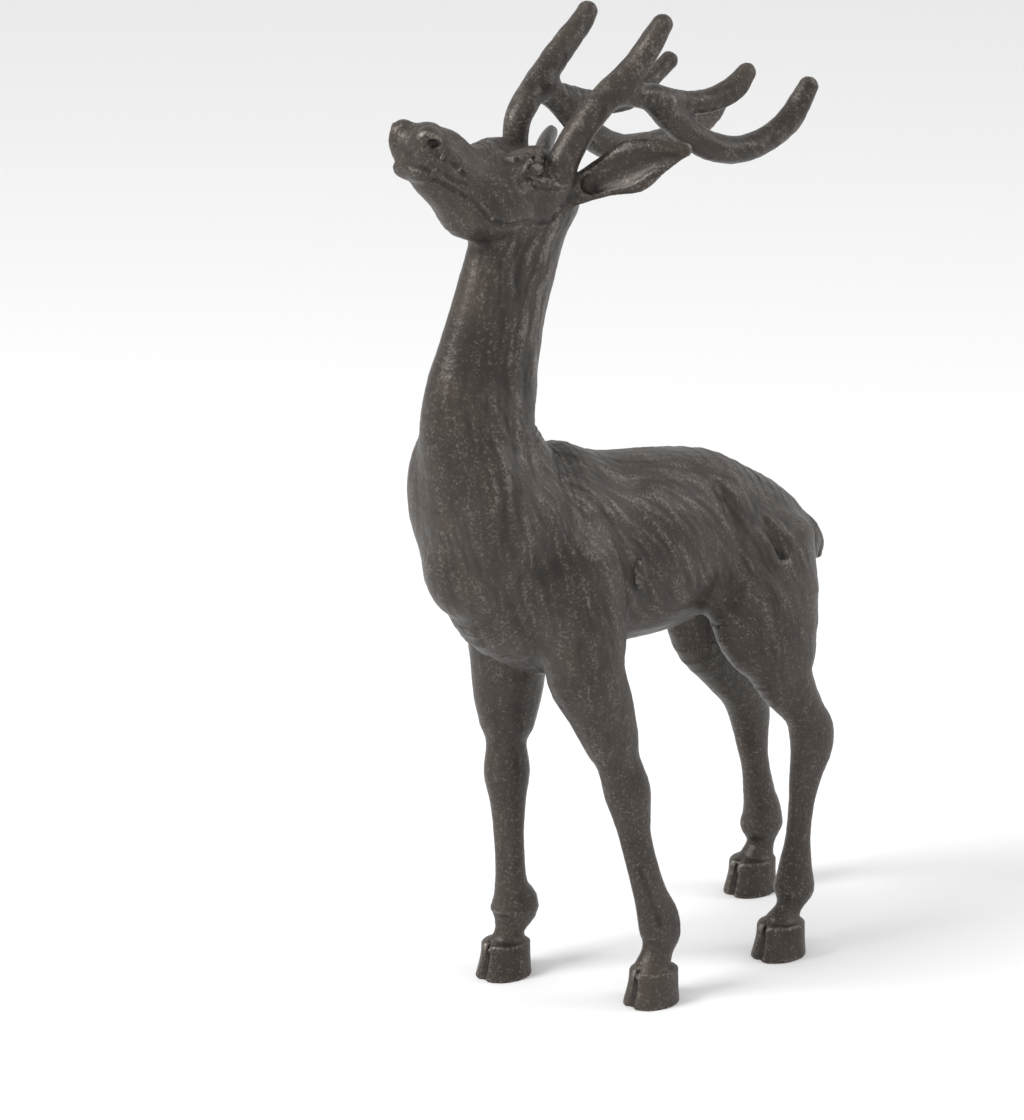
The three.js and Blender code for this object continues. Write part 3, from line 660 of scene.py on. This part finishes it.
# The groove between bone and tendon on the left foreleg.
def add_tendon_groove():
    groove = [
        [50.2, -35, 82.9],
        [52, -30.4, 70.3],
        [53.3, -26.2, 57.6],
        [54.4, -23.4, 48.2],
    ]
    carve(cord(groove, 0.5), 4)


add_trunk()
add_neck()
add_head()
add_forelegs()
add_hind_legs()
add_muscles()
add_tail()
add_ears()
add_antlers()
for face_side in SIDES:
    add_eye(face_side)
    add_jaw_and_mouth(face_side)
    add_nostril(face_side)
add_tendon_groove()


# A fine even mesh that wraps the solid, as a new object.
def fine_copy(node, name):
    obj = bpy.data.objects.new(name, node.data.copy())
    bpy.context.scene.collection.objects.link(obj)
    bm = bmesh.new()
    bm.from_mesh(obj.data)
    bmesh.ops.remove_doubles(bm, verts=bm.verts, dist=1e-6)
    bm.to_mesh(obj.data)
    bm.free()
    remesh = obj.modifiers.new("remesh", "REMESH")
    remesh.mode = "VOXEL"
    remesh.voxel_size = VOXEL * MM
    wrapped = obj.evaluated_get(bpy.context.evaluated_depsgraph_get())
    obj.data = bpy.data.meshes.new_from_object(wrapped)
    obj.modifiers.clear()
    return obj


def points_of(mesh):
    flat = np.empty(len(mesh.vertices) * 3, np.float32)
    mesh.vertices.foreach_get("co", flat)
    return flat.reshape(-1, 3).astype(float)


def set_points(mesh, points):
    mesh.vertices.foreach_set("co", points.astype(np.float32).ravel())
    mesh.update()


# How the hair lies: a place on the left side, the way it is combed, and how high its strands
# and its grain stand.
COAT = [
    ((12, -150, 503), (0, 1, -0.6), 0.08, 0.14),
    ((18, -130, 490), (0, 0.8, -0.8), 0.16, 0.1),
    ((22, -100, 470), (0, 0.35, -1), 0.26, 0.08),
    ((24, -70, 478), (0, 0.5, -1), 0.26, 0.08),
    ((8, -100, 500), (0, 1, 0), 0.2, 0.1),
    ((40, -48, 480), (1, 0.2, 0.2), 0.22, 0.05),
    ((20, -80, 440), (0, -0.34, -0.94), 0.55, 0.04),
    ((22, -85, 385), (0, -0.2, -1), 0.62, 0.04),
    ((6, -128, 400), (0, -0.3, -1), 0.12, 0.12),
    ((8, -142, 330), (0, 0, -1), 0.14, 0.12),
    ((25, -105, 340), (0, 0.05, -1), 0.5, 0.05),
    ((14, -70, 345), (0, 0.3, -1), 0.6, 0.04),
    ((22, -65, 315), (0, 0.7, -0.7), 0.45, 0.06),
    ((38, -75, 275), (0, 0.35, -1), 0.34, 0.08),
    ((12, -135, 290), (0.2, 0.1, -1), 0.3, 0.1),
    ((10, 0, 305), (0.1, 1, -0.1), 0.34, 0.06),
    ((38, 0, 280), (0, 0.7, -1), 0.4, 0.06),
    ((42, 10, 250), (0, 0.6, -1), 0.36, 0.07),
    ((25, 10, 212), (0, 1, -0.2), 0.2, 0.08),
    ((38, 50, 250), (0, 0.6, -1), 0.34, 0.07),
    ((10, 90, 280), (0.2, 1, -0.3), 0.34, 0.07),
    ((38, 80, 245), (0, 0.5, -1), 0.34, 0.07),
    ((34, 95, 200), (0, 0.1, -1), 0.22, 0.1),
    ((10, 140, 240), (0, 0.4, -1), 0.4, 0.05),
    ((40, -50, 190), (0, 0, -1), 0.18, 0.11),
    ((40, -40, 90), (0, 0, -1), 0.06, 0.13),
    ((40, 110, 90), (0, 0, -1), 0.06, 0.13),
    ((40, 50, 12), (0, 0, -1), 0.1, 0.1),
]
TABLE = np.random.default_rng(7).uniform(-1, 1, (TABLE_SIZE, TABLE_SIZE, TABLE_SIZE))


# Smooth random heights between -1 and 1; the table of them repeats.
def noise(points):
    cell = np.floor(points).astype(int)
    t = points - cell
    t = t * t * (3 - 2 * t)
    total = np.zeros(len(points))
    for corner in np.ndindex(2, 2, 2):
        share = np.where(corner, t, 1 - t).prod(1)
        i, j, k = ((cell + corner) % TABLE_SIZE).T
        total += share * TABLE[i, j, k]
    return total


# The noise drawn out along the flow, like hair combed that way.
def combed(points, flow, grain, reach):
    steps = np.linspace(-0.5, 0.5, COMB_STEPS) * reach
    total = sum(noise((points + flow * step) / grain) for step in steps)
    return np.clip(total / len(steps) * COMB_GAIN, -1, 1)


# Direction of the hair and the heights of strands and grain at each point.
def coat_at(points, normals):
    weight = np.zeros(len(points))
    flow = np.zeros((len(points), 3))
    high = np.zeros((len(points), 2))
    folded = points.copy()
    folded[:, 0] = np.abs(folded[:, 0])
    for place, way, strands, grain in COAT:
        near = 1 / (1 + ((folded - place) ** 2).sum(1)) ** 2
        weight += near
        flow += near[:, None] * (np.array(way, float) / np.linalg.norm(way))
        high += near[:, None] * (strands, grain)
    flow /= weight[:, None]
    high /= weight[:, None]
    flow[:, 0] *= np.sign(points[:, 0])
    antler = np.clip((points[:, 2] - ANTLERS_FROM) / ANTLERS_EASE, 0, 1)
    antler = (antler * (points[:, 1] > MUZZLE_ENDS))[:, None]
    flow = flow * (1 - antler) + antler * ANTLER_WAY
    high = high * (1 - antler) + antler * ANTLER_HEIGHTS
    flow -= (flow * normals).sum(1)[:, None] * normals
    flow /= np.maximum(np.linalg.norm(flow, axis=1), 1e-6)[:, None]
    return flow, high[:, 0], high[:, 1]


# Height of the hair and the pebbled skin of the casting.
def relief(points, normals):
    flow, strands, grain = coat_at(points, normals)
    waves = np.stack([noise(points / WAVE_GRAIN + shift) for shift in WAVE_SHIFTS], 1)
    wavy = points + WAVE_HEIGHT * waves
    locks = combed(wavy, flow, LOCK_GRAIN, LOCK_REACH)
    hairs = combed(wavy, flow, HAIR_GRAIN, HAIR_REACH)
    pebbles = noise(points / PEBBLE_GRAIN) * PEBBLE_SHARE
    pebbles += noise(points / BUMP_GRAIN + BUMP_SHIFT) * BUMP_SHARE
    return strands * (LOCK_SHARE * locks + HAIR_SHARE * hairs) + grain * pebbles


# How far each point stands out from the middle of its neighbours, in crest units.
def crests(points, normals, faces):
    ends = np.vstack([faces[:, pair] for pair in ((0, 1), (1, 2), (2, 3), (3, 0))])
    ends = np.vstack([ends, ends[:, ::-1]])
    count = np.bincount(ends[:, 0], minlength=len(points))
    height = np.zeros(len(points))
    for axis in range(3):
        around = np.bincount(ends[:, 0], points[ends[:, 1], axis], len(points)) / count
        height += (points[:, axis] - around) * normals[:, axis]
    return height / CREST_UNIT


# Which patch each face is in: 0 is the head with the antlers, 1 the fore part, 2 the hind part.
def part_of(middles):
    upper = middles[:, 2] > NECK_CUT
    hind = middles[:, 1] > WAIST_CUT
    return np.where(upper, 0, np.where(hind, 2, 1))


# One patch of the casting, shaded by the normals of the whole so that its edges don't show.
def cut_piece(name, points, normals, faces, wear_and_painted_light):
    used, local = np.unique(faces, return_inverse=True)
    mesh = bpy.data.meshes.new(name)
    mesh.from_pydata(points[used] * MM, [], local.reshape(faces.shape).tolist())
    mesh.polygons.foreach_set("use_smooth", [True] * len(mesh.polygons))
    mesh.normals_split_custom_set_from_vertices(normals[used])
    # This attribute carries painted crease shade as well as rubbed wear with painted highlight
    # glints.
    wear_and_light = mesh.attributes.new("wear_and_painted_light", "FLOAT", "POINT")
    wear_and_light.data.foreach_set("value", wear_and_painted_light[used].astype(np.float32))
    piece = bpy.data.objects.new(name, mesh)
    bpy.context.scene.collection.objects.link(piece)
    return piece


# The whole casting is wrapped, settled and given its relief as one mesh, then cut into patches.
def make_casting():
    obj = fine_copy(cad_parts["stag"], "stag_whole")
    points = points_of(obj.data) / MM
    figure = Figure(points)
    points, normals = figure.settle(points)
    height = relief(points, normals)
    standing = np.clip(points[:, 2] / SOLE_FADE, 0, 1)
    points += normals * (height * standing)[:, None]
    set_points(obj.data, points * MM)
    fresh = np.empty(len(points) * 3, np.float32)
    obj.data.vertices.foreach_get("normal", fresh)
    fresh = fresh.reshape(-1, 3)
    faces = np.empty(len(obj.data.loops), np.int32)
    obj.data.loops.foreach_get("vertex_index", faces)
    faces = faces.reshape(-1, 4)
    crest = crests(points, fresh, faces)
    # Low in creases, where it paints shade, and high on raised relief, where it paints rubbed grey
    # that is partly real wear and partly painted highlight glints.
    wear_and_painted_light = LEVEL_WEAR_AND_LIGHT + WEAR_AND_LIGHT_BY_HEIGHT * height + WEAR_AND_LIGHT_BY_CREST * crest
    bpy.data.objects.remove(obj)
    part = part_of(points[faces].mean(1))
    names = ("stag_head", "stag_fore", "stag_hind")
    return [
        cut_piece(name, points, fresh, faces[part == i], wear_and_painted_light)
        for i, name in enumerate(names)
    ]


def node(tree, kind, inputs=(), **settings):
    made = tree.nodes.new(kind)
    for key, value in settings.items():
        setattr(made, key, value)
    for key, value in inputs:
        if isinstance(value, bpy.types.NodeSocket):
            tree.links.new(value, made.inputs[key])
        else:
            made.inputs[key].default_value = value
    return made


def scatter(tree, place, scale):
    settings = (("Vector", place), ("Scale", scale), ("Detail", NOISE_DETAIL))
    return node(tree, "ShaderNodeTexNoise", settings).outputs["Fac"]


def spread(tree, value, low, high, to_low, to_high):
    ends = (("From Min", low), ("From Max", high), ("To Min", to_low), ("To Max", to_high))
    return node(tree, "ShaderNodeMapRange", (("Value", value), *ends)).outputs[0]


# Two colours mixed; a mix node keeps its colour sockets at 6 and 7, and gives the colour at 2.
def mixed(tree, share, first, second):
    made = node(tree, "ShaderNodeMix", data_type="RGBA")
    tree.links.new(share, made.inputs[0])
    for socket, colour in ((made.inputs[6], first), (made.inputs[7], second)):
        if isinstance(colour, tuple):
            socket.default_value = (*colour, 1)
        else:
            tree.links.new(colour, socket)
    return made.outputs[2]


# Brown-black iron, with painted shade darkening the creases, and rubbed grey where the hair and the
# bulges stand up, partly real wear and partly painted highlight glints.
def iron():
    material = bpy.data.materials.new("cast_iron")
    material.use_nodes = True
    tree = material.node_tree
    shader = tree.nodes["Principled BSDF"]
    place = node(tree, "ShaderNodeTexCoord").outputs["Object"]
    wear_and_light = node(tree, "ShaderNodeAttribute", attribute_name="wear_and_painted_light").outputs["Fac"]
    patches = scatter(tree, place, PATCH_SCALE)
    grain = scatter(tree, place, GRAIN_SCALE)
    base = mixed(tree, spread(tree, patches, 0.35, 0.65, 0, 1), UMBER, BROWN)
    # Painted shade: creases and low hair grooves are darkened towards the crease colour.
    base_with_painted_shade = mixed(tree, spread(tree, wear_and_light, 0.1, 0.5, 0, 1), PAINTED_CREASE_SHADE, base)
    speck = node(tree, "ShaderNodeMath", ((0, wear_and_light), (1, spread(tree, grain, 0.3, 0.7, -0.25, 0.3))))
    # Rubbed grey specks on raised places: partly real wear, partly painted highlight glints.
    rubbed_and_glint = spread(tree, speck.outputs[0], 0.6, 1.15, 0, 0.9)
    tree.links.new(mixed(tree, rubbed_and_glint, base_with_painted_shade, RUBBED_GREY_AND_GLINT), shader.inputs["Base Color"])
    tree.links.new(spread(tree, rubbed_and_glint, 0, 1, 0.35, 0.6), shader.inputs["Metallic"])
    tree.links.new(spread(tree, patches, 0.3, 0.7, 0.36, 0.5), shader.inputs["Roughness"])
    pits = (("Height", grain), ("Distance", GRAIN_DEPTH), ("Strength", GRAIN_STRENGTH))
    bump = node(tree, "ShaderNodeBump", pits)
    tree.links.new(bump.outputs[0], shader.inputs["Normal"])
    return material


def plain(name, colour, roughness=0.9):
    material = bpy.data.materials.new(name)
    material.use_nodes = True
    shader = material.node_tree.nodes["Principled BSDF"]
    shader.inputs["Base Color"].default_value = (*colour, 1)
    shader.inputs["Roughness"].default_value = roughness
    return material


def make_floor():
    mesh = bpy.data.meshes.new("floor")
    r = FLOOR_REACH
    mesh.from_pydata([(-r, -r, 0), (r, -r, 0), (r, r, 0), (-r, r, 0)], [], [(0, 1, 2, 3)])
    floor = bpy.data.objects.new("floor", mesh)
    bpy.context.scene.collection.objects.link(floor)
    mesh.materials.append(plain("floor", FLOOR_WHITE))


def softbox(name, place, width, height, watts):
    data = bpy.data.lights.new(name, "AREA")
    data.shape = "RECTANGLE"
    data.size = width
    data.size_y = height
    data.energy = watts
    light = bpy.data.objects.new(name, data)
    light.location = place
    light.rotation_mode = "QUATERNION"
    light.rotation_quaternion = (Vector(LIT_PLACE) - Vector(place)).to_track_quat("-Z", "Y")
    bpy.context.scene.collection.objects.link(light)


def make_camera():
    data = bpy.data.cameras.new("camera")
    data.sensor_width = SENSOR
    data.lens = LENS
    data.shift_x, data.shift_y = SHIFT
    camera = bpy.data.objects.new("camera", data)
    back = Vector(
        (
            math.sin(AZIMUTH) * math.cos(ELEVATION),
            -math.cos(AZIMUTH) * math.cos(ELEVATION),
            math.sin(ELEVATION),
        )
    )
    camera.location = AIM + back * AWAY
    camera.rotation_mode = "QUATERNION"
    camera.rotation_quaternion = (-back).to_track_quat("-Z", "Y")
    bpy.context.scene.collection.objects.link(camera)
    bpy.context.scene.camera = camera


def make_light():
    scene = bpy.context.scene
    scene.view_settings.view_transform = "Standard"
    world = bpy.data.worlds.new("studio")
    world.use_nodes = True
    world.node_tree.nodes["Background"].inputs["Color"].default_value = (1, 1, 1, 1)
    world.node_tree.nodes["Background"].inputs["Strength"].default_value = SKY_STRENGTH
    scene.world = world
    softbox("key", KEY_PLACE, KEY_WIDTH, KEY_HEIGHT, KEY_WATTS)
    softbox("rim", RIM_PLACE, RIM_WIDTH, RIM_HEIGHT, RIM_WATTS)


material = iron()
for piece in make_casting():
    piece.data.materials.append(material)
    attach(piece, "root")
    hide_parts("stag")
make_floor()
make_light()
make_camera()
